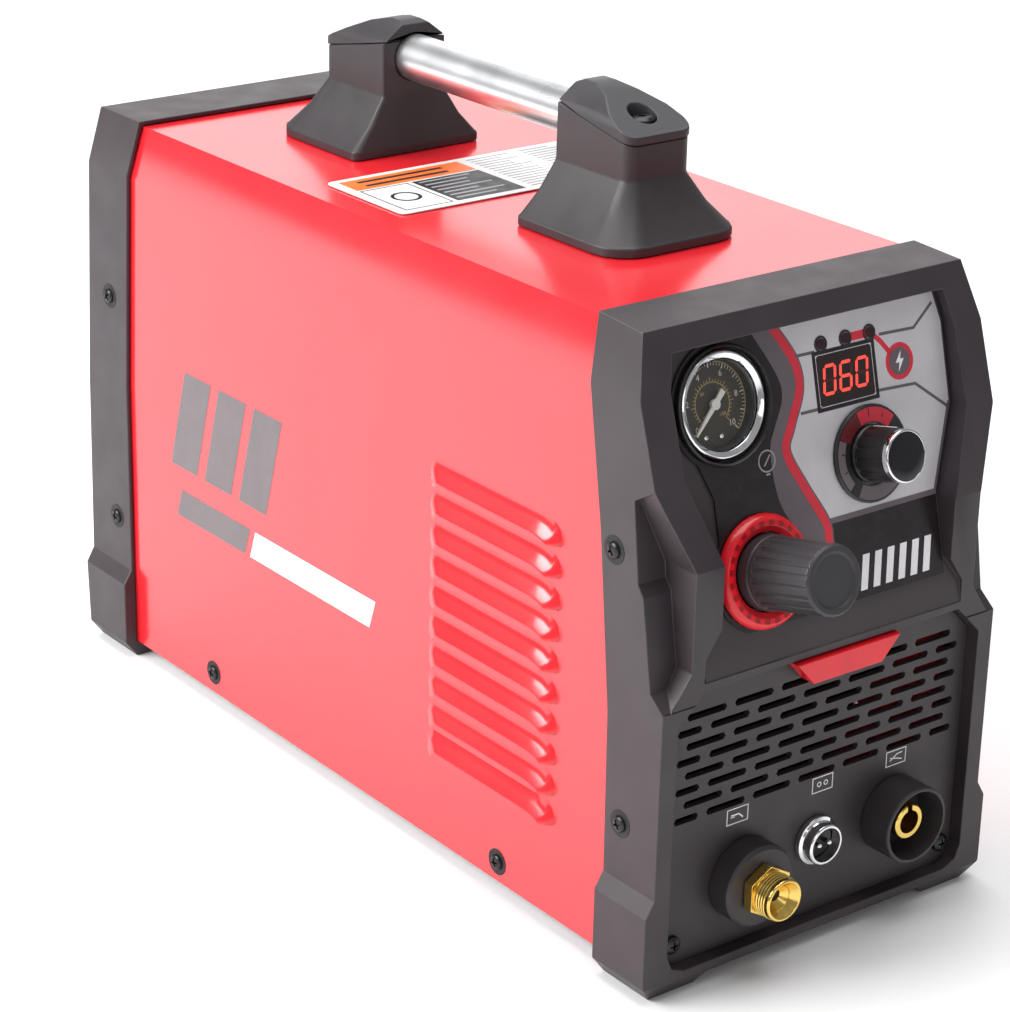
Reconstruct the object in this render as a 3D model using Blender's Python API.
"""Portable inverter plasma cutter unit, built as separate pieces.

Frame: +Z up, the front face looks along -Y, +X is on the right seen from the front.
The origin is on the floor, under the middle of the overall box.
Driving sizes are in millimetres; every helper turns them into metres.
"""
import math

import bpy
import bmesh
from mathutils import Matrix, Vector

for old in list(bpy.data.objects):
    bpy.data.objects.remove(old, do_unlink=True)

MM = 0.001
GAP = 0.3                     # clearance between pieces that touch

# ---- body ----
BODY_TOP = 240.0
SIDE_HALF = 78.6              # half width of the plastic ends
FOOT_HALF = 82.3              # half width across the feet
CREASE_Z = 217.6              # where the side turns into the slanted shoulder
TOP_HALF = 72.7
FRONT_Y = -190.0
WALL = 1.9
FLOOR_Z = 6.8                 # inside bottom of the plastic ends
SHELL_T = 1.2
SHELL_HALF = 76.4
SHELL_TOP = 237.8
SHELL_TOP_HALF = 70.4
SHELL_CREASE = 216.9

# ---- louvres in the side sheets ----
LOUVRES = 10
LOUVRE_PITCH = 12.0
LOUVRE_LIP = 152.6            # lower lip of the top louvre
LOUVRE_RISE = 9.8
LOUVRE_OUT = 4.6
LOUVRE_STRIP = 2.2            # height of the upright strip at the lip
LOUVRE_Y = (-131.6, -54.6)

# ---- upper control panel, leaning back ----
PANEL_TILT = 14.3
PANEL_Y = -162.6              # a point on the panel face
PANEL_Z = 228.5
PANEL_WALL = 2.6
GAUGE_XZ = (-39.6, 207.8)
GAUGE_R = 18.7
REG_XZ = (-31.0, 150.4)
REG_RING_R = 20.0
DIAL_XZ = (23.6, 179.2)
DIAL_R = 17.4
DISPLAY_XZ = (16.6, 207.2)
DISPLAY_SIZE = (26.0, 18.0)
LAMP_X = (6.6, 18.1, 29.4)
LAMP_Z = 219.6

# ---- lower connector panel ----
GRILLE_Y = -184.5             # front face of the connector panel
GRILLE_T = 2.5
GRILLE_ROWS = 8
GRILLE_TOP = 104.3
GRILLE_PITCH = 5.56
SLOT_W = 18.0
SLOT_STEP = 21.5
SLOT_H = 2.8
EARTH_XZ = (38.5, 38.5)
PILOT_XZ = (0.8, 39.0)
TORCH_XZ = (-33.5, 34.8)

# ---- handle ----
TUBE_R = 9.2
TUBE_Z = 275.4
HANDLE_MID = 9.5              # the two posts mirror about this y

# ---- rear ----
REAR_FLOOR = 182.5
FAN_XZ = (0.0, 148.0)
SWITCH_XZ = (40.0, 62.0)
POWER_XZ = (-40.0, 62.0)
STUD_XZ = (40.0, 32.0)
INLET_XZ = (0.0, 38.0)
VALVE_Y = 148.2               # air valve, screwed onto the inside end of the inlet

FRONT = Matrix.Rotation(math.radians(90), 4, 'X')
REAR = Matrix.Rotation(math.pi, 4, 'Z') @ FRONT
LEAN = Matrix.Rotation(math.radians(90 - PANEL_TILT), 4, 'X')
UP = Matrix.Identity(4)


# ---------------------------------------------------------------- helpers
def paint(name, rgb, rough, metal=0.0, alpha=1.0):
    mat = bpy.data.materials.new(name)
    mat.use_nodes = True
    node = mat.node_tree.nodes["Principled BSDF"]
    node.inputs["Base Color"].default_value = (rgb[0], rgb[1], rgb[2], 1.0)
    node.inputs["Roughness"].default_value = rough
    node.inputs["Metallic"].default_value = metal
    node.inputs["Alpha"].default_value = alpha
    mat.diffuse_color = (rgb[0], rgb[1], rgb[2], alpha)
    return mat


def solid(name, verts, faces):
    """A closed mesh object from points in millimetres."""
    mesh = bpy.data.meshes.new(name)
    mesh.from_pydata([Vector(v) * MM for v in verts], [], faces)
    bm = bmesh.new()
    bm.from_mesh(mesh)
    bmesh.ops.recalc_face_normals(bm, faces=bm.faces)
    bm.to_mesh(mesh)
    bm.free()
    obj = bpy.data.objects.new(name, mesh)
    bpy.context.scene.collection.objects.link(obj)
    return obj


def loft(name, rings):
    """Skin a list of equal-length point rings and cap both ends."""
    n = len(rings[0])
    verts = [p for ring in rings for p in ring]
    faces = [list(range(n))[::-1], [len(verts) - n + i for i in range(n)]]
    for k in range(len(rings) - 1):
        for i in range(n):
            j = (i + 1) % n
            faces.append([k * n + i, k * n + j, (k + 1) * n + j, (k + 1) * n + i])
    return solid(name, verts, faces)


def prism(name, axis, pts, lo, hi):
    """Extrude a polygon: X takes (y, z) points, Y takes (x, z), Z takes (x, y)."""
    put = {'X': lambda p, t: (t, p[0], p[1]),
           'Y': lambda p, t: (p[0], t, p[1]),
           'Z': lambda p, t: (p[0], p[1], t)}[axis]
    return loft(name, [[put(p, lo) for p in pts], [put(p, hi) for p in pts]])


def box(name, x0, x1, y0, y1, z0, z1):
    return prism(name, 'Z', [(x0, y0), (x1, y0), (x1, y1), (x0, y1)], z0, z1)


def circle(r, n=32, cx=0.0, cy=0.0, start=0.0):
    step = 2 * math.pi / n
    return [(cx + r * math.cos(start + i * step), cy + r * math.sin(start + i * step))
            for i in range(n)]


def rounded(hx, hy, r, cx=0.0, cy=0.0, n=3):
    """Rounded rectangle, half sizes hx and hy, n segments in each corner."""
    pts = []
    for k, (sx, sy) in enumerate([(1, 1), (-1, 1), (-1, -1), (1, -1)]):
        for i in range(n + 1):
            a = math.radians(90 * k + 90.0 * i / n)
            pts.append((cx + sx * (hx - r) + r * math.cos(a), cy + sy * (hy - r) + r * math.sin(a)))
    return pts


def cylinder(name, r, lo, hi, n=32, cx=0.0, cy=0.0):
    return prism(name, 'Z', circle(r, n, cx, cy), lo, hi)


def turned(name, profile, n=32):
    """Turn (radius, height) points round local Z; a point at radius 0 is on the axis."""
    verts, rows = [], []
    for r, h in profile:
        if r < 1e-6:
            rows.append([len(verts)])
            verts.append((0.0, 0.0, h))
        else:
            rows.append(list(range(len(verts), len(verts) + n)))
            verts += [(p[0], p[1], h) for p in circle(r, n)]
    faces = []
    for a, b in zip(rows, rows[1:] + rows[:1]):
        if len(a) == 1 and len(b) == 1:
            continue
        for i in range(n):
            j = (i + 1) % n
            if len(a) == 1:
                faces.append([a[0], b[j], b[i]])
            elif len(b) == 1:
                faces.append([a[i], a[j], b[0]])
            else:
                faces.append([a[i], a[j], b[j], b[i]])
    return solid(name, verts, faces)


def tube_along(name, points, r_out, r_in, n=10):
    """A hollow hose through the points, open at both ends."""
    pts = [Vector(p) for p in points]
    outer, inner = [], []
    side = Vector((0, 0, 1)) if abs((pts[1] - pts[0]).normalized().x) > 0.9 else Vector((1, 0, 0))
    for i, p in enumerate(pts):
        ahead = (pts[min(i + 1, len(pts) - 1)] - pts[max(i - 1, 0)]).normalized()
        side = (side - ahead * side.dot(ahead)).normalized()
        up = ahead.cross(side)
        for ring, r in ((outer, r_out), (inner, r_in)):
            ring.append([p + side * c[0] + up * c[1] for c in circle(r, n)])
    rings = outer + inner[::-1]
    verts = [tuple(v) for ring in rings for v in ring]
    faces = []
    for k in range(len(rings)):
        m = (k + 1) % len(rings)
        for i in range(n):
            j = (i + 1) % n
            faces.append([k * n + i, k * n + j, m * n + j, m * n + i])
    return solid(name, verts, faces)


def bend(points, steps=5):
    """Round a hose route: a Catmull-Rom curve through its guide points."""
    p = [Vector(q) for q in points]
    p = [p[0] * 2 - p[1]] + p + [p[-1] * 2 - p[-2]]
    out = []
    for i in range(1, len(p) - 2):
        for s in range(steps):
            t = s / steps
            out.append(0.5 * (2 * p[i] + (p[i + 1] - p[i - 1]) * t
                              + (2 * p[i - 1] - 5 * p[i] + 4 * p[i + 1] - p[i + 2]) * t * t
                              + (3 * p[i] - p[i - 1] - 3 * p[i + 1] + p[i + 2]) * t ** 3))
    return out + [p[-2]]


def place(obj, x, y, z, turn=UP):
    obj.matrix_world = Matrix.Translation(Vector((x, y, z)) * MM) @ turn
    return obj


def panel_y(z):
    return PANEL_Y - math.tan(math.radians(PANEL_TILT)) * (PANEL_Z - z)


def on_panel(obj, xz, out=0.0):
    """Put an object on the leaning panel: local +Z points out of it, local +Y up it."""
    a = math.radians(PANEL_TILT)
    x, z = xz
    return place(obj, x, panel_y(z) - out * math.cos(a), z + out * math.sin(a), LEAN)


def combine(obj, tools, how='DIFFERENCE'):
    """Cut, join or keep the common part, and leave one plain mesh."""
    for tool in tools if isinstance(tools, (list, tuple)) else [tools]:
        mod = obj.modifiers.new(how, 'BOOLEAN')
        mod.operation = how
        mod.solver = 'EXACT'
        mod.object = tool
        bpy.context.view_layer.update()
        graph = bpy.context.evaluated_depsgraph_get()
        mesh = bpy.data.meshes.new_from_object(obj.evaluated_get(graph))
        obj.modifiers.clear()
        obj.data = mesh
        bpy.data.objects.remove(tool, do_unlink=True)
    return obj


def finish(obj, name, mat, smooth=True):
    """Name a finished piece, tidy its mesh and give it its one material."""
    bm = bmesh.new()
    bm.from_mesh(obj.data)
    bmesh.ops.remove_doubles(bm, verts=bm.verts, dist=0.000004)
    bmesh.ops.dissolve_degenerate(bm, dist=0.000004, edges=bm.edges)
    bmesh.ops.dissolve_limit(bm, angle_limit=math.radians(0.05), verts=bm.verts, edges=bm.edges)
    bmesh.ops.triangulate(bm, faces=[f for f in bm.faces if len(f.verts) > 4])
    bm.to_mesh(obj.data)
    bm.free()
    obj.name = name
    obj.data.name = name
    obj.data.materials.clear()
    obj.data.materials.append(mat)
    if smooth:
        obj.data.shade_smooth()
        obj.data.set_sharp_from_angle(angle=math.radians(32))
    return obj


def mirror_x(pts):
    """Close a half outline (x > 0, top to bottom) with its mirror image."""
    return list(pts) + [(-x, z) for x, z in reversed(pts)]


def inset(pts, d):
    """Move each edge of a closed outline inwards by d."""
    n = len(pts)
    area = sum(pts[i][0] * pts[(i + 1) % n][1] - pts[(i + 1) % n][0] * pts[i][1] for i in range(n))
    sign = 1.0 if area > 0 else -1.0
    lines = []
    for i in range(n):
        a, b = Vector(pts[i]), Vector(pts[(i + 1) % n])
        t = (b - a).normalized()
        lines.append((a + Vector((-t.y, t.x)) * d * sign, t))
    out = []
    for i in range(n):
        (p, t), (q, s) = lines[i - 1], lines[i]
        cross = t.x * s.y - t.y * s.x
        k = ((q.x - p.x) * s.y - (q.y - p.y) * s.x) / cross
        out.append((p.x + t.x * k, p.y + t.y * k))
    return out


# ---------------------------------------------------------------- colours
GREY = paint("grey_plastic", (0.115, 0.105, 0.112), 0.45)
DARK = paint("dark_plastic", (0.035, 0.033, 0.036), 0.5)
BLACK = paint("black_plastic", (0.012, 0.012, 0.013), 0.35)
RED_PAINT = paint("red_enamel", (0.62, 0.018, 0.03), 0.32)
RED = paint("red_plastic", (0.65, 0.02, 0.045), 0.3)
STEEL = paint("zinc_steel", (0.55, 0.56, 0.57), 0.35, 1.0)
SCREW = paint("black_oxide", (0.03, 0.03, 0.032), 0.35, 1.0)
CHROME = paint("chrome", (0.85, 0.85, 0.86), 0.08, 1.0)
BRASS = paint("brass", (0.78, 0.55, 0.18), 0.25, 1.0)
ALUMINIUM = paint("aluminium", (0.75, 0.76, 0.77), 0.3, 1.0)
OVERLAY = paint("overlay_film", (0.42, 0.41, 0.43), 0.4)
GLASS = paint("clear_lens", (0.9, 0.92, 0.92), 0.05, 0.0, 0.25)
SMOKE = paint("smoked_window", (0.05, 0.01, 0.012), 0.1)
DIAL = paint("dial_face", (0.06, 0.055, 0.03), 0.5)
CREAM = paint("pointer_white", (0.82, 0.8, 0.72), 0.4)
LABEL = paint("label_film", (0.8, 0.35, 0.06), 0.4)
BOARD = paint("circuit_board", (0.02, 0.16, 0.07), 0.4)
COPPER = paint("copper_winding", (0.6, 0.26, 0.1), 0.35, 0.8)
FERRITE = paint("ferrite_core", (0.07, 0.07, 0.075), 0.6)
RUBBER = paint("rubber", (0.02, 0.02, 0.021), 0.7)

SECTION = mirror_x([(TOP_HALF, BODY_TOP), (SIDE_HALF, CREASE_Z), (SIDE_HALF, 41.0),
                    (FOOT_HALF, 35.0), (FOOT_HALF, 7.3), (76.7, 0.0), (56.0, 0.0), (51.5, 4.3)])
HOLLOW = [(x, max(z, FLOOR_Z)) for x, z in
          inset(mirror_x([(TOP_HALF, BODY_TOP), (SIDE_HALF, CREASE_Z), (SIDE_HALF, 4.0)]), WALL)]
GRILLE_OUTLINE = mirror_x([(60.0, 116.0), (71.5, 104.5), (71.5, 17.0), (69.2, 11.4), (63.5, 9.0)])
RECESS = mirror_x([(62.2, 230.2), (65.3, 218.0), (65.3, 189.5), (53.9, 160.0),
                   (53.9, 137.0), (60.5, 127.5), (60.5, 119.0)])


# ---------------------------------------------------------------- body pieces
def make_front_bezel():
    base_side = [(-142, 240), (-165.2, 238.7), (-171.9, 217.6), (-181.1, 188.8), (-171, 183),
                 (-174.5, 154), (-177.5, 150), (-183, 117), (FRONT_Y, 111.5), (FRONT_Y, 6.5),
                 (-186.5, 0), (-162, 0), (-162, 40), (-161, 102), (-154, 167), (-146, 217)]
    hood_side = [(-158, 239.1), (-165.2, 238.7), (-171.9, 217.6), (-181.1, 188.8),
                 (FRONT_Y, 160.5), (FRONT_Y, 111.6), (-158, 111.6)]
    hood_front = mirror_x([(TOP_HALF, BODY_TOP), (SIDE_HALF, CREASE_Z), (SIDE_HALF, 188.8),
                           (66.5, 160.0), (66.5, 124.0), (71.5, 116.5), (75.0, 111.6)])
    body = prism("body", 'Y', SECTION, -205, -135)
    combine(body, prism("side", 'X', base_side, -90, 90), 'INTERSECT')
    hood = prism("hood", 'Y', hood_front, -205, -157)
    combine(hood, prism("side", 'X', hood_side, -90, 90), 'INTERSECT')
    combine(body, hood, 'UNION')

    cavity_side = [(-130, 238.1), (-152, 238.1), (-158.5, 235.5), (-168.3, 190), (-168.3, 183),
                   (-171.8, 155), (-174.8, 150), (-179.2, 120), (-179.2, FLOOR_Z), (-130, FLOOR_Z)]
    cavity = prism("cavity", 'Y', HOLLOW, -200, -120)
    combine(cavity, prism("side", 'X', cavity_side, -90, 90), 'INTERSECT')

    pocket = prism("pocket", 'Y', mirror_x([(59, 226), (61, 217), (61, 191), (49, 160.5), (49, 131)]),
                   -195, -150)
    back = [(panel_y(z) + PANEL_WALL, z) for z in (228, 130)]
    combine(pocket, prism("side", 'X', [(-150, 228)] + back + [(-150, 130)], -90, 90), 'INTERSECT')
    recess = prism("recess", 'Y', RECESS, -230, -150)
    floor = [(panel_y(232), 232), (-230, 232), (-230, 110), (FRONT_Y - 0.001, 118.8),
             (panel_y(129.0), 129.0)]
    combine(recess, prism("side", 'X', floor, -90, 90), 'INTERSECT')
    grille = prism("grille", 'Y', GRILLE_OUTLINE, -200, GRILLE_Y + GRILLE_T + GAP)
    opening = prism("opening", 'Y', mirror_x([(56, 111), (66.5, 100.5), (66.5, 30), (56, 14)]),
                    -195, -170)
    holes = [on_panel(cylinder("h", GAUGE_R + 0.5, -20, 12, 40), GAUGE_XZ),
             on_panel(cylinder("h", 9.0, -20, 12, 28), REG_XZ),
             on_panel(cylinder("h", 5.0, -20, 12, 20), DIAL_XZ),
             on_panel(prism("h", 'Z', rounded(13.3, 9.3, 1.0, n=1), -20, 12), DISPLAY_XZ)]
    holes += [on_panel(cylinder("h", 2.4, -20, 12, 12), (x, LAMP_Z)) for x in LAMP_X]
    pilots = [place(cylinder("h", 1.5, -12, 5, 8), s * 65.5, -181.0, 17.6, FRONT) for s in (-1, 1)]
    combine(body, [cavity, pocket, recess, grille, opening] + holes + pilots)
    return finish(body, "front_bezel", GREY)


def make_rear_bezel():
    side = [(154, 240), (185, 240), (191.5, 119), (192.7, 40), (190.3, 0), (160, 0), (160, 125)]
    body = prism("body", 'Y', SECTION, 150, 200)
    combine(body, prism("side", 'X', side, -90, 90), 'INTERSECT')
    cavity = prism("cavity", 'Y', HOLLOW, 140, REAR_FLOOR - 2.5)
    recess = prism("recess", 'Y', mirror_x([(60, 229), (67, 215), (67, 20), (60, 13)]),
                   REAR_FLOOR, 210)
    fx, fz = FAN_XZ
    holes = [place(cylinder("h", 41.5, -12, 12, 40), fx, REAR_FLOOR, fz, REAR),
             place(prism("h", 'Z', rounded(14.4, 10.7, 0.3, n=1), -12, 12),
                   SWITCH_XZ[0], REAR_FLOOR, SWITCH_XZ[1], REAR),
             place(prism("h", 'Z', rounded(16, 12, 0.4, n=1), -12, 12), POWER_XZ[0], REAR_FLOOR,
                   POWER_XZ[1], REAR),
             place(cylinder("h", 3.4, -12, 12, 14), STUD_XZ[0], REAR_FLOOR, STUD_XZ[1], REAR),
             place(cylinder("h", 6.8, -12, 12, 20), INLET_XZ[0], REAR_FLOOR, INLET_XZ[1], REAR)]
    combine(body, [cavity, recess] + holes)
    return finish(body, "rear_bezel", GREY)


def louvre(side, lip, trim):
    """A pressed hood standing out of a side wall; trim > 0 gives the hollow under it."""
    y0, y1 = LOUVRE_Y[0] + trim, LOUVRE_Y[1] - trim
    low = lip - 0.8 if trim else lip
    rise, out = LOUVRE_RISE - trim, LOUVRE_OUT - trim
    root = (-3.0 if trim else -0.6, rise, 0.0, 0.0)
    levels = [root, (0.0, rise, 0.0, 0.0), (out * 0.52, rise * 0.62, 1.6, 3.2),
              (out * 0.93, LOUVRE_STRIP + 0.5, 4.4, 7.2), (out, LOUVRE_STRIP - 0.3 - trim / 2, 6.2, 8.4)]
    rings = []
    for x, high, pull_front, pull_rear in levels:
        a, b = y0 + pull_front, y1 - pull_rear
        top = lip + high
        ring = [(a, low), (b, low)]
        for cy, r, start in ((b, -4.2, 0), (a, 11.0, 90)):
            down = min(abs(r), high * 0.8)
            for i in range(4):
                t = math.radians(start + 30 * i)
                y = cy + r + abs(r) * math.cos(t)
                ring.append((y, top - down + down * math.sin(t)))
        rings.append([(side * (SHELL_HALF + x), y, z) for y, z in ring])
    return loft("louvre", rings)


def make_shell():
    outer = [(SHELL_HALF, 7.1), (SHELL_HALF, SHELL_CREASE), (SHELL_TOP_HALF, SHELL_TOP)]
    inner = [(SHELL_HALF - SHELL_T, 7.1), (SHELL_HALF - SHELL_T, SHELL_CREASE - 0.16),
             (SHELL_TOP_HALF - 0.94, SHELL_TOP - SHELL_T)]
    shell = prism("shell", 'Y', mirror_x(outer) + mirror_x(inner)[::-1], -175, 175)
    ends = [(-150, 240), (-153.5, 217), (-161.5, 167), (-168.5, 102), (-169.5, 5),
            (168, 5), (168, 125), (162, 240)]
    combine(shell, prism("ends", 'X', ends, -90, 90), 'INTERSECT')
    for side in (-1, 1):
        lips = [LOUVRE_LIP - k * LOUVRE_PITCH for k in range(LOUVRES)]
        combine(shell, [louvre(side, lip, 0.0) for lip in lips], 'UNION')
        combine(shell, [louvre(side, lip, SHELL_T) for lip in lips])
    return finish(shell, "shell_cover", RED_PAINT)


def make_tray():
    x, t, z = 74.7, 1.2, 7.1
    section = [(x, 24), (x, z), (-x, z), (-x, 24), (-x + t, 24), (-x + t, z + t), (x - t, z + t),
               (x - t, 24)]
    tray = prism("tray", 'Y', section, -168, 168)
    posts = [cylinder("post", 3.0, z + 0.4, 69.7, 10, sx * 55, y) for sx in (-1, 1) for y in (-88, 98)]
    combine(tray, posts, 'UNION')
    vents = [prism("v", 'Z', rounded(14, 2.5, 2.4, x0, y0, n=2), 0, 12)
             for x0 in (-38, 38) for y0 in (-130, -118, -106)]
    combine(tray, vents)
    return finish(tray, "base_tray", STEEL)


def make_grille():
    plate = prism("plate", 'Y', inset(GRILLE_OUTLINE, GAP), GRILLE_Y, GRILLE_Y + GRILLE_T)
    slots = []
    for row in range(GRILLE_ROWS):
        z = GRILLE_TOP - row * GRILLE_PITCH
        if row % 2 == 0:
            spans = [((k + 0.5) * SLOT_STEP, SLOT_W) for k in range(-3, 3)]
        else:
            spans = [(k * SLOT_STEP, SLOT_W) for k in range(-2, 3)] + [(-61.2, 11.0), (61.2, 11.0)]
        for x, w in spans:
            if row == 0 and abs(x) > 60:
                continue
            a, b, h = w / 2, w / 2 - 0.9, SLOT_H / 2
            ends = [(a, 0), (b, h), (-b, h), (-a, 0), (-b, -h), (b, -h)]
            slots.append(prism("s", 'Y', [(x + p, z + q) for p, q in ends],
                               GRILLE_Y - 3, GRILLE_Y + 6))
    for (x, z), r in ((EARTH_XZ, 11.0), (PILOT_XZ, 8.2), (TORCH_XZ, 9.0)):
        slots.append(place(cylinder("h", r, -8, 8, 24), x, GRILLE_Y, z, FRONT))
    for s in (-1, 1):
        slots.append(place(cylinder("h", 2.3, -8, 8, 10), s * 65.5, GRILLE_Y, 17.6, FRONT))
    slots.append(prism("t", 'Y', [(-8, 109.2), (14, 109.2), (14, 110.8), (-8, 110.8)],
                       GRILLE_Y - 3, GRILLE_Y + 6))
    combine(plate, slots)
    return finish(plate, "grille_panel", DARK)


def make_tab():
    face = [(-19.5, 115.2), (30.0, 115.2), (21.4, 106.0), (-11.2, 106.0)]
    tab = prism("tab", 'Y', face, -191.8, GRILLE_Y - GAP)
    tongue = prism("tongue", 'Y', [(-7.7, 109.5), (13.7, 109.5), (13.7, 110.5), (-7.7, 110.5)],
                   -190, GRILLE_Y + GRILLE_T)
    combine(tab, tongue, 'UNION')
    return finish(tab, "red_tab", RED)


def make_overlay():
    def s(z):
        """Distance up the leaning panel from its reference line to height z."""
        return (z - PANEL_Z) / math.cos(math.radians(PANEL_TILT))

    right = [(-30, 229.3), (61.2, 229.3), (64.2, 217.6), (64.2, 189.8), (52.8, 160.3), (52.8, 131.2)]
    left = [(-22, 131.2), (-48.2, 158), (-48.0, 178), (-54, 192)]
    film = prism("film", 'Z', [(x, s(z)) for x, z in right + left], GAP, 0.8)
    for (x, z), r in ((GAUGE_XZ, 22.6), (REG_XZ, 21.6)):
        disc = cylinder("disc", r, GAP, 0.8, 40, x, s(z))
        keep = prism("keep", 'Z', [(-63.9, s(229.3)), (0, s(229.3)), (0, s(131.2)), (-63.9, s(131.2))],
                     0, 2)
        combine(disc, keep, 'INTERSECT')
        combine(film, disc, 'UNION')
    holes = [cylinder("h", 21.1, -2, 3, 40, GAUGE_XZ[0], s(GAUGE_XZ[1])),
             cylinder("h", 9.0, -2, 3, 28, REG_XZ[0], s(REG_XZ[1])),
             cylinder("h", 5.0, -2, 3, 20, DIAL_XZ[0], s(DIAL_XZ[1])),
             prism("h", 'Z', rounded(13.3, 9.3, 1.0, DISPLAY_XZ[0], s(DISPLAY_XZ[1]), n=1), -2, 3)]
    holes += [cylinder("h", 2.4, -2, 3, 12, x, s(LAMP_Z)) for x in LAMP_X]
    combine(film, holes)
    on_panel(film, (0, PANEL_Z))
    return finish(film, "panel_overlay", OVERLAY)


# ---------------------------------------------------------------- display and current knob
def make_display():
    w, h = DISPLAY_SIZE[0] / 2, DISPLAY_SIZE[1] / 2
    glass = prism("g", 'Z', rounded(w, h, 0.8, n=1), -0.6, 0.9)
    finish(on_panel(glass, DISPLAY_XZ), "display_window", SMOKE)
    step = LAMP_X[1] - LAMP_X[0]
    bar = box("bar", -step - 3, step + 3, -2.0, 2.0, -9.0, -6.2)
    pins = [cylinder("pin", 2.0, -7.0, 1.1, 12, k * step, 0) for k in (-1, 0, 1)]
    combine(bar, pins, 'UNION')
    finish(on_panel(bar, (LAMP_X[1], LAMP_Z)), "lamp_pipe", GLASS)


def make_dial():
    ring = turned("ring", [(10.9, 1.1), (DIAL_R, 1.1), (DIAL_R, 2.0), (DIAL_R - 0.6, 2.5),
                           (10.9, 2.5)], 32)
    finish(on_panel(ring, DIAL_XZ), "dial_ring", BLACK)
    pot = box("pot", -8, 8, -8, 8, -12.0, -4.2)
    combine(pot, cylinder("bush", 3.4, -5.0, -0.4, 16), 'UNION')
    combine(pot, cylinder("bore", 3.2, -10.0, 1.0, 16))
    finish(on_panel(pot, DIAL_XZ), "pot_body", ALUMINIUM)
    shaft = cylinder("shaft", 2.9, -9.7, 14.3, 16)
    combine(shaft, box("flat", -4, 4, 1.9, 4, 2.2, 16))
    finish(on_panel(shaft, DIAL_XZ), "pot_shaft", STEEL)
    knob = turned("knob", [(0, 1.4), (10.4, 1.4), (10.4, 3.4), (9.9, 4.0), (9.5, 16.5), (0, 16.5)], 28)
    bore = cylinder("bore", 3.2, 0, 14.6, 16)
    combine(bore, box("flat", -5, 5, 2.2, 5, 3.0, 16))
    combine(knob, bore)
    grips = [cylinder("g", 1.0, 4.4, 18, 6, 10.3 * math.cos(a), 10.3 * math.sin(a))
             for a in [2 * math.pi * i / 14 for i in range(14)]]
    combine(knob, grips)
    finish(on_panel(knob, DIAL_XZ), "current_knob", BLACK)
    rim = turned("rim", [(0, 16.8), (9.4, 16.8), (9.4, 18.9), (9.0, 19.3), (8.6, 19.3),
                         (8.4, 18.8), (0, 18.8)], 32)
    finish(on_panel(rim, DIAL_XZ), "knob_rim", CHROME)
    board = box("board", -22, 34, -10, 48, -14.1, -12.5)
    dx = DISPLAY_XZ[0] - DIAL_XZ[0]
    dy = (DISPLAY_XZ[1] - DIAL_XZ[1]) / math.cos(math.radians(PANEL_TILT))
    combine(board, box("digits", dx - 12.4, dx + 12.4, dy - 8.4, dy + 8.4, -13, -0.9), 'UNION')
    finish(on_panel(board, DIAL_XZ), "control_board", BOARD)


# ---------------------------------------------------------------- regulator
def make_regulator():
    r = REG_RING_R
    ring = turned("ring", [(13.8, 1.1), (r, 1.1), (r, 2.2), (r - 0.7, 3.6), (r - 2.0, 4.6), (r - 4.0, 4.6),
                           (13.8, 3.2)], 36)
    finish(on_panel(ring, REG_XZ), "regulator_ring", RED)
    body = turned("body", [(0, -34), (17, -34), (17, -14), (14, -10), (14, -5), (8.6, -5),
                           (8.6, 2.2), (5.4, 2.2), (5.4, -12), (0, -12)], 24)
    combine(body, [box("port", -24, 24, -5.5, 5.5, -29, -18)], 'UNION')
    bore = prism("bore", 'X', circle(2.6, 8, 0, -23.5), -30, 30)
    combine(body, bore)
    finish(on_panel(body, REG_XZ), "regulator_body", ALUMINIUM)
    stem = turned("stem", [(0, -11.6), (5.0, -11.6), (5.0, 4.2), (3.2, 4.6), (3.2, 22.5), (0, 22.5)], 20)
    combine(stem, [box("flat", -4, 4, 2.2, 4, 4.8, 24)])
    finish(on_panel(stem, REG_XZ), "regulator_stem", STEEL)
    knob = turned("knob", [(0, 5.4), (5.8, 5.4), (5.8, 3.0), (13.2, 3.0), (13.2, 7.4), (12.8, 8.0),
                           (12.3, 36.0), (11.4, 37.0), (9.8, 37.0), (9.0, 36.2), (0, 36.2)], 32)
    bore = cylinder("bore", 3.5, 4, 26.5, 20)
    combine(bore, box("flat", -5, 5, 2.5, 5, 3, 28))
    combine(knob, bore)
    flutes = [cylinder("g", 1.35, 9.4, 40, 6, 13.25 * math.cos(a), 13.25 * math.sin(a))
              for a in [2 * math.pi * i / 20 for i in range(20)]]
    combine(knob, flutes)
    finish(on_panel(knob, REG_XZ), "regulator_knob", BLACK)


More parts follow.
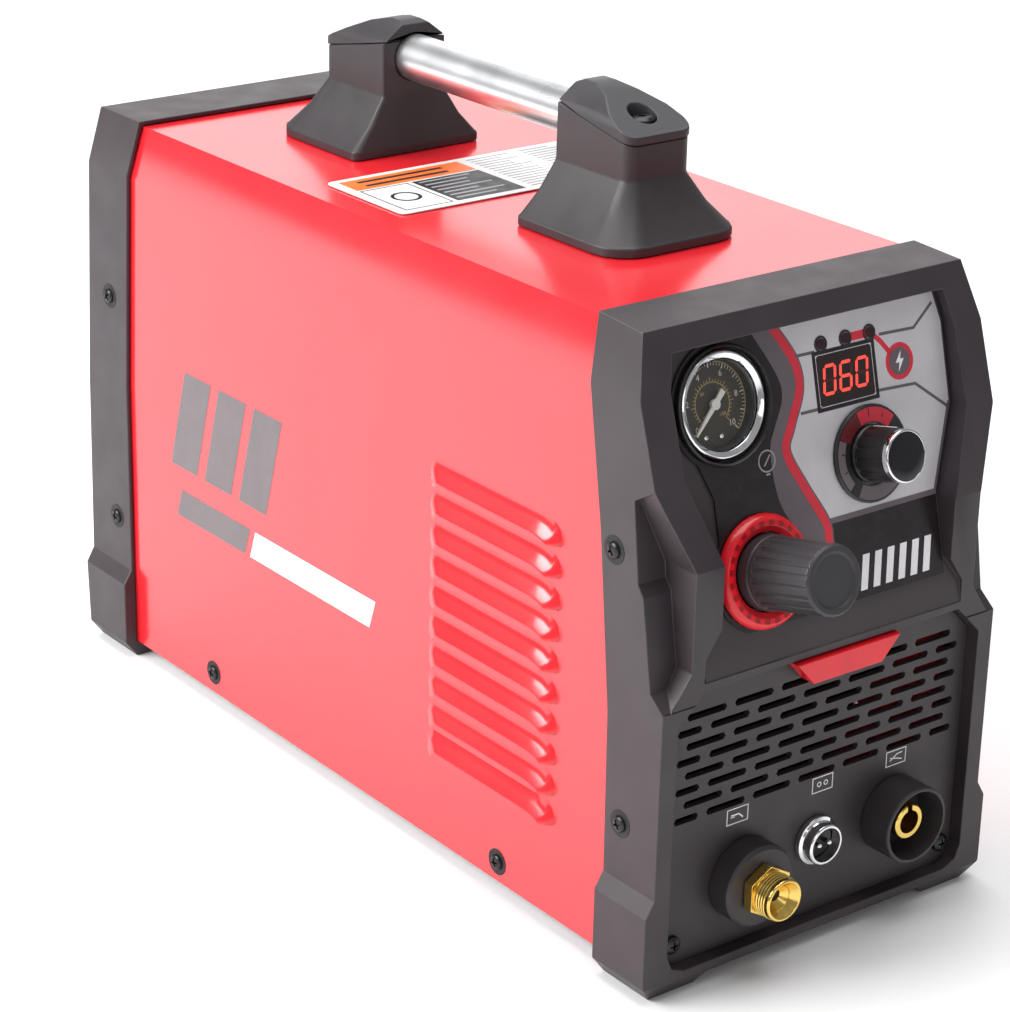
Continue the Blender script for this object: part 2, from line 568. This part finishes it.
def make_gauge():
    r = GAUGE_R
    collar = turned("collar", [(r + 0.6, 0.4), (r + 2.0, 0.4), (r + 2.0, 2.4), (r + 1.2, 2.9)], 36)
    finish(on_panel(collar, GAUGE_XZ), "gauge_collar", BLACK)
    case = turned("case", [(0, -24), (14, -24), (r - 1.6, -21), (r - 1.6, -1.8), (r - 3.6, -1.8),
                           (r - 3.6, -6.3), (2.2, -6.3), (2.2, -10.5), (0, -10.5)], 28)
    combine(case, cylinder("stub", 5.0, -34, -23.5, 12), 'UNION')
    combine(case, cylinder("bore", 2.0, -36, -23.0, 10))
    finish(on_panel(case, GAUGE_XZ), "gauge_case", BLACK)
    chrome = turned("chrome", [(r - 2.9, -1.4), (r - 1.2, -1.4), (r - 1.2, -6.0), (r, -6.0), (r, 0.7),
                               (r - 0.5, 1.5), (r - 1.2, 1.8), (r - 2.9, 0.6)], 40)
    finish(on_panel(chrome, GAUGE_XZ), "gauge_bezel", CHROME)
    face = turned("face", [(1.3, -6.0), (r - 3.9, -6.0), (r - 3.9, -5.2), (1.3, -5.2)], 32)
    finish(on_panel(face, GAUGE_XZ), "gauge_dial", DIAL)
    lens = turned("lens", [(0, -1.4), (r - 3.2, -1.4), (r - 3.2, 0.1), (0, 0.6)], 36)
    finish(on_panel(lens, GAUGE_XZ), "gauge_lens", GLASS)
    hub = turned("hub", [(0, -10.2), (0.9, -10.2), (0.9, -4.5), (1.9, -4.3), (1.9, -3.2), (0, -3.0)], 16)
    arm = prism("arm", 'Z', [(-1.1, -5.8), (1.1, -5.8), (0.75, 4), (0.25, 13.2), (-0.25, 13.2),
                             (-0.75, 4)], -4.2, -3.5)
    combine(hub, arm, 'UNION')
    hub.data.transform(Matrix.Rotation(math.radians(135), 4, 'Z'))
    finish(on_panel(hub, GAUGE_XZ), "gauge_pointer", CREAM)


# ---------------------------------------------------------------- connectors
def hexagon(across):
    return circle(across / math.sqrt(3), 6, start=math.pi / 6)


def hex_ring(across, lo, hi, hole):
    return combine(prism("hex", 'Z', hexagon(across), lo, hi), cylinder("b", hole, lo - 1, hi + 1, 24))


def make_connectors():
    def out(obj, xz):
        return place(obj, xz[0], GRILLE_Y, xz[1], FRONT)

    body = turned("body", [(6.8, -22), (10.6, -22), (10.6, 0.3), (14.9, 0.3), (14.9, 13.2),
                           (14.4, 14.0), (13.4, 14.0), (13.0, 1.2), (6.8, 1.2)], 32)
    finish(out(body, EARTH_XZ), "earth_socket_body", BLACK)
    core = turned("core", [(0, -26), (6.4, -26), (6.4, 1.6), (6.9, 2.2), (6.9, 9.7), (6.4, 10.2),
                           (4.5, 10.2), (4.5, -12), (0, -12)], 24)
    combine(core, box("key", -1.1, 1.1, 4.0, 8, 3.0, 12))
    finish(out(core, EARTH_XZ), "earth_socket_contact", BRASS)
    boss = turned("boss", [(8.3, -8), (8.7, -8), (8.7, 0.3), (15.6, 0.3), (15.6, 9.2), (14.4, 10.5),
                           (8.3, 10.5)], 32)
    finish(out(boss, TORCH_XZ), "torch_boss", BLACK)
    brass = turned("brass", [(2.2, -26), (8.0, -26), (8.0, 22.0), (7.6, 22.6), (7.0, 22.6),
                             (4.6, 19.6), (4.6, 8), (2.2, 6)], 28)
    combine(brass, hex_ring(17.6, 11.0, 15.0, 6.3), 'UNION')
    finish(out(brass, TORCH_XZ), "torch_fitting", BRASS)
    shell = turned("shell", [(6.6, -9.5), (7.9, -9.5), (7.9, 0.3), (9.4, 0.3), (9.4, 2.2), (7.9, 2.6),
                             (7.9, 6.2), (7.4, 6.7), (6.6, 6.7)], 28)
    finish(out(shell, PILOT_XZ), "pilot_socket_shell", CHROME)
    insert = cylinder("insert", 6.3, -12, 2.2, 20)
    pins = [cylinder("p", 0.9, 1.2, 5.6, 6, s * 2.4, 0) for s in (-1, 1)]
    combine(insert, pins, 'UNION')
    finish(out(insert, PILOT_XZ), "pilot_socket_insert", BLACK)
    for side, name in ((-1, "panel_screw_left"), (1, "panel_screw_right")):
        screw = turned("screw", [(0, -7), (1.2, -7), (1.2, 0.3), (3.6, 0.3), (3.4, 1.5), (2.2, 2.2),
                                 (0, 2.4)], 12)
        cross = box("c1", -1.7, 1.7, -0.35, 0.35, 1.0, 3)
        combine(cross, box("c2", -0.35, 0.35, -1.7, 1.7, 1.0, 3), 'UNION')
        combine(screw, cross)
        finish(place(screw, side * 65.5, GRILLE_Y, 17.6, FRONT), name, SCREW)


# ---------------------------------------------------------------- handle
def handle_outline(half, y0, y1, r_outer, r_inner):
    """Plan of a handle post: large corners at the outer end y0, small ones at the inner end y1."""
    pts = []
    for k, (sx, y, r) in enumerate([(1, y1, r_inner), (-1, y1, r_inner), (-1, y0, r_outer),
                                    (1, y0, r_outer)]):
        cy = y - r if y == y1 else y + r
        for i in range(5):
            a = math.radians(90 * k + 22.5 * i)
            pts.append((sx * (half - r) + r * math.cos(a), cy + r * math.sin(a)))
    return pts


def cap_line(y):
    """Height of the sloping joint between a handle post and its cap."""
    return 274.5 + (y + 84) * 7.9 / 39.0


def tube_channel():
    return place(cylinder("ch", TUBE_R + GAP, -40, 62.3, 28), 0, 0, TUBE_Z, FRONT)


def make_handle():
    tube = turned("tube", [(TUBE_R, -71), (TUBE_R, 71), (TUBE_R - 1.6, 71), (TUBE_R - 1.6, -71)], 28)
    finish(place(tube, 0, HANDLE_MID, TUBE_Z, FRONT), "handle_tube", ALUMINIUM)
    for end, tag in ((-1, "front"), (1, "rear")):
        flip = Matrix.Identity(4) if end < 0 else Matrix.Translation(
            Vector((0, 2 * HANDLE_MID, 0)) * MM) @ Matrix.Rotation(math.pi, 4, 'Z')
        rings = []
        for z, half, y0, y1, r in ((238.1, 30.5, -100.5, -41.5, 14), (241.4, 30.5, -100.5, -41.5, 14),
                                   (242.3, 29.4, -99.4, -41.9, 13.4), (250.2, 22, -93, -43.2, 9.5),
                                   (260.6, 15.2, -86.8, -44.4, 5.6), (262, 15, -86.4, -44.6, 5.4),
                                   (290, 15, -86, -45, 5)):
            rings.append([(x, y, z) for x, y in handle_outline(half, y0, y1, r, 0.22 * r)])
        post = loft("post", rings)
        combine(post, prism("above", 'X', [(-110, cap_line(-110)), (-30, cap_line(-30)), (-30, 300),
                                           (-110, 300)], -40, 40))
        combine(post, [tube_channel(), cylinder("hole", 2.7, 256, 300, 12, 0, -75)])
        hollow = loft("hollow", [[(x, y, z) for x, y in rounded(hx, hy, 5, 0, cy)]
                                 for z, hx, hy, cy in ((230, 24, 24, -71), (243, 24, 24, -71),
                                                       (250, 13, 17, -66))])
        combine(post, hollow)
        post.data.transform(flip)
        finish(post, "handle_post_" + tag, BLACK)
        plan = handle_outline(15.4, -86.6, -44.6, 5.4, 1.2)
        cap = loft("cap", [[(x, y, z) for x, y in plan] for z in (265, 295)])
        combine(cap, prism("side", 'X', [(-40, cap_line(-40) + GAP), (-40, 286.4), (-47.5, 289.9),
                                         (-54, 289.9), (-64, 287.6), (-84.6, 277.9), (-90, 276.2),
                                         (-90, cap_line(-90) + GAP)], -20, 20), 'INTERSECT')
        section = [(-16, 260), (-16, 279), (-13.6, 283.4), (-8, 287.6), (-4.5, 290), (4.5, 290),
                   (8, 287.6), (13.6, 283.4), (16, 279), (16, 260)]
        combine(cap, prism("sec", 'Y', section, -95, -40), 'INTERSECT')
        combine(cap, [tube_channel(), cylinder("hole", 2.7, 260, 300, 12, 0, -75),
                      cylinder("sink", 5.4, 278.6, 300, 20, 0, -75)])
        cap.data.transform(flip)
        finish(cap, "handle_cap_" + tag, BLACK)
        screw = turned("screw", [(0, 259), (2.2, 259), (2.2, 278.9), (4.7, 278.9), (4.7, 280.4),
                                 (3.4, 281.4), (0, 281.6)], 14)
        socket = cylinder("hex", 1.6, 279.9, 290, 6)
        combine(screw, socket)
        y = -75 if end < 0 else 2 * HANDLE_MID + 75
        finish(place(screw, 0, y, 0), "handle_screw_" + tag, SCREW)
    label = prism("label", 'Z', rounded(58, 25.5, 3, 0, 15.5, n=3), SHELL_TOP + GAP, SHELL_TOP + 0.7)
    finish(label, "top_label", LABEL)


# ---------------------------------------------------------------- rear pieces
def make_fan():
    x, z = FAN_XZ
    inside = REAR_FLOOR - 2.5 - GAP
    frame = prism("frame", 'Z', rounded(46, 46, 5, n=2), -25.5, -GAP)
    combine(frame, cylinder("bore", 43, -30, 5, 32))
    hub = cylinder("hub", 15, -25.5, -21.5, 24)
    arms = [box("arm", 0, 45, -2, 2, -25.5, -22.5) for _ in range(3)]
    for i, arm in enumerate(arms):
        arm.data.transform(Matrix.Rotation(math.radians(30 + 120 * i), 4, 'Z'))
    combine(hub, arms + [cylinder("pin", 1.6, -22, -8, 10)], 'UNION')
    combine(frame, hub, 'UNION')
    combine(frame, [cylinder("h", 2.1, -30, 5, 8, sx * 41.2, sy * 41.2)
                    for sx in (-1, 1) for sy in (-1, 1)])
    finish(place(frame, x, inside, z, REAR), "fan_frame", BLACK)
    rotor = turned("rotor", [(0, -3.5), (14.6, -3.5), (15.2, -4.2), (15.2, -20.8), (1.9, -20.8),
                             (1.9, -7.4), (0, -7.4)], 24)
    blades = []
    for i in range(7):
        rings = []
        for r, twist in ((14, 40), (28, 32), (41.2, 26)):
            a = math.radians(twist)
            half = 8.6 / max(math.sin(a), 0.3) * math.sin(a)
            u = (math.cos(a), math.sin(a))
            corners = [(-half, -0.7), (half, -0.7), (half, 0.7), (-half, 0.7)]
            rings.append([(r, c[0] * u[0] - c[1] * u[1], -12.2 + (c[0] * u[1] + c[1] * u[0]) * 0.95)
                          for c in corners])
        blade = loft("blade", rings)
        blade.data.transform(Matrix.Rotation(2 * math.pi * i / 7, 4, 'Z'))
        blades.append(blade)
    combine(rotor, blades, 'UNION')
    finish(place(rotor, x, inside, z, REAR), "fan_rotor", DARK)

    guard = prism("guard", 'Z', rounded(46, 46, 10, n=3), GAP, 1.8)
    slots = []
    for r0, r1 in ((9, 16), (18.5, 25.5), (28, 35), (37.5, 43)):
        for q in range(4):
            half = math.pi / 4 - 1.6 / r0
            mid = math.pi / 4 + q * math.pi / 2
            n = 5 if r0 > 20 else 3
            arc = [mid - half + 2 * half * i / n for i in range(n + 1)]
            pts = [(r1 * math.cos(a), r1 * math.sin(a)) for a in arc]
            pts += [(r0 * math.cos(a), r0 * math.sin(a)) for a in arc[::-1]]
            slots.append(prism("slot", 'Z', pts, -2, 5))
    combine(guard, slots)
    finish(place(guard, x, REAR_FLOOR, z, REAR), "fan_guard", STEEL)


def make_switch():
    housing = prism("housing", 'Z', rounded(16, 12.4, 1.5, n=2), GAP, 2.4)
    combine(housing, [box("body", -14, 14, -10.3, 10.3, -19, 1)], 'UNION')
    combine(housing, [box("pocket", -11.7, 11.7, -8.7, 8.7, -7.4, 6),
                      prism("axle", 'X', circle(1.5, 12, 0, 0.2), -13.3, 13.3)])
    finish(place(housing, SWITCH_XZ[0], REAR_FLOOR, SWITCH_XZ[1], REAR), "switch_housing", BLACK)
    face = [(-7.3, 3.9), (0, 2.3), (7.3, 3.9), (7.6, 1.0)]
    face += [(6.4 * math.sin(a), -6.4 * math.cos(a)) for a in
             [math.radians(60 - 20 * i) for i in range(7)]]
    face += [(-7.6, 1.0)]
    rocker = prism("rocker", 'X', face, -11.3, 11.3)
    combine(rocker, prism("axle", 'X', circle(1.2, 12), -13.0, 13.0), 'UNION')
    rocker.data.transform(Matrix.Rotation(math.radians(-9), 4, 'X'))
    finish(place(rocker, SWITCH_XZ[0], REAR_FLOOR + 0.2, SWITCH_XZ[1], REAR), "switch_rocker", RED)


def make_rear_connections():
    def put(obj, xz):
        return place(obj, xz[0], REAR_FLOOR, xz[1], REAR)

    power = prism("power", 'Z', rounded(25, 14, 4), GAP, 3.0)
    combine(power, box("body", -15.5, 15.5, -11.5, 11.5, -22, 1), 'UNION')
    well = [(-12, -9.4), (12, -9.4), (13.6, -7.8), (13.6, 5.4), (9.6, 9.4), (-9.6, 9.4), (-13.6, 5.4),
            (-13.6, -7.8)]
    combine(power, prism("well", 'Z', well, -17, 6))
    blades = [box("blade", x - 1.1, x + 1.1, z - 3.8, z + 3.8, -18, -2.5)
              for x, z in ((-8.5, -2.0), (0.0, 2.6), (8.5, -2.0))]
    combine(power, blades, 'UNION')
    combine(power, [cylinder("h", 1.8, -3, 6, 10, x, 0) for x in (-20, 20)])
    finish(put(power, POWER_XZ), "power_inlet", BLACK)
    stud = turned("stud", [(0, -9), (3.0, -9), (3.0, 0.3), (7.0, 0.3), (7.0, 1.5), (3.0, 1.5),
                           (3.0, 12.4), (2.4, 13), (0, 13)], 14)
    combine(stud, prism("nut", 'Z', hexagon(10), 1.2, 5.8), 'UNION')
    finish(put(stud, STUD_XZ), "earth_stud", BRASS)
    inlet = turned("inlet", [(2.6, -22), (4.6, -22), (4.6, -13.5), (6.4, -13), (6.4, 0.3), (8.6, 0.3),
                             (8.6, 7), (4.6, 8), (4.6, 11), (5.4, 11.2), (4.3, 16), (5.4, 16.2),
                             (4.3, 21), (5.4, 21.2), (4.3, 26),
                             (5.4, 26.2), (4.3, 31), (5.4, 31.2), (4.0, 38.68), (2.6, 38.68)], 14)
    combine(inlet, hex_ring(17, 0.3, 6.4, 4.0), 'UNION')
    finish(put(inlet, INLET_XZ), "air_inlet", BRASS)


# ---------------------------------------------------------------- inside the case
def make_inside():
    board = box("board", -62, 62, -96, 106, 70.0, 71.6)
    combine(board, [cylinder("h", 1.7, 60, 80, 8, sx * 55, y) for sx in (-1, 1) for y in (-88, 98)])
    finish(board, "main_board", BOARD)
    fins = [(-34, 72), (34, 72), (34, 108), (32, 108)]
    for k in range(5):
        x = 32 - 12.4 * k
        fins += [(x, 78)] if k == 0 else [(x + 2, 78), (x + 2, 108), (x, 108), (x, 78)]
    fins += [(-32, 78), (-32, 108), (-34, 108)]
    finish(prism("sink", 'Y', fins, -70, 60), "heatsink", ALUMINIUM)
    core = box("core", -28, 28, -50, 4, 8.8, 62)
    combine(core, [box("w1", -19, -9, -60, 14, 18, 52), box("w2", 9, 19, -60, 14, 18, 52)])
    finish(core, "transformer_core", FERRITE)
    coil = box("coil", -18.6, 18.6, -58, 12, 18.4, 51.6)
    combine(coil, box("leg", -9.4, 9.4, -50.4, 4.4, 10, 60))
    finish(coil, "transformer_coil", COPPER)
    choke = turned("choke", [(9, -9), (24, -9), (26, -6), (26, 6), (24, 9), (9, 9)], 24)
    finish(place(choke, -34, 60, 35, FRONT), "output_choke", COPPER)

    can = turned("can", [(0, 71.9), (15, 71.9), (15, 113), (14, 114), (0, 114)], 20)
    finish(place(can, -40, 84, 0), "capacitor", BLACK)
    valve = box("block", -12, 12, -12, 12, -8, 8)
    combine(valve, [cylinder("tube", 5.6, 7, 33, 20)], 'UNION')
    combine(valve, [prism("flow", 'Y', circle(2.6, 12), -20, 20), cylinder("bore", 4.4, 0, 31, 20)])
    finish(place(valve, 0, VALVE_Y, 38), "valve_body", BRASS)
    coil = box("coil", -13, 13, -13, 13, 8.4, 31.5)
    combine(coil, cylinder("hole", 5.9, 0, 40, 20))
    finish(place(coil, 0, VALVE_Y, 38), "valve_coil", BLACK)
    plunger = cylinder("plunger", 4.1, 3.4, 25.0, 16)
    finish(place(plunger, 0, VALVE_Y, 38), "valve_plunger", STEEL)

    a = math.radians(PANEL_TILT)
    rx, ry, rz = REG_XZ[0], panel_y(REG_XZ[1]) + 23.5 * math.cos(a), REG_XZ[1] - 23.5 * math.sin(a)
    feed = bend([(0, VALVE_Y - 12.4, 38), (4, VALVE_Y - 26, 38), (42, 92, 36), (66, 40, 40),
                 (67, -60, 60), (62, -118, 112), (rx + 66, ry, rz), (rx + 34, ry, rz),
                 (rx + 24.6, ry, rz)], 2)
    finish(tube_along("hose", feed, 4.2, 2.8, 8), "feed_hose", RUBBER)
    tx, tz = TORCH_XZ
    back = GRILLE_Y + 26.4
    torch = bend([(rx - 24.9, ry, rz), (rx - 27.5, ry, rz), (rx - 30, ry, rz), (-67, -152, 124),
                  (-66, -146, 96), (-56, -128, 60), (tx - 4, -130, tz + 2), (tx, back + 8, tz),
                  (tx, back, tz)], 2)
    finish(tube_along("hose", torch, 4.2, 2.8, 8), "torch_hose", RUBBER)


make_front_bezel()
make_rear_bezel()
make_shell()
make_tray()
make_grille()
make_tab()
make_overlay()
make_display()
make_dial()
make_regulator()
make_gauge()
make_connectors()
make_handle()
make_fan()
make_switch()
make_rear_connections()
make_inside()
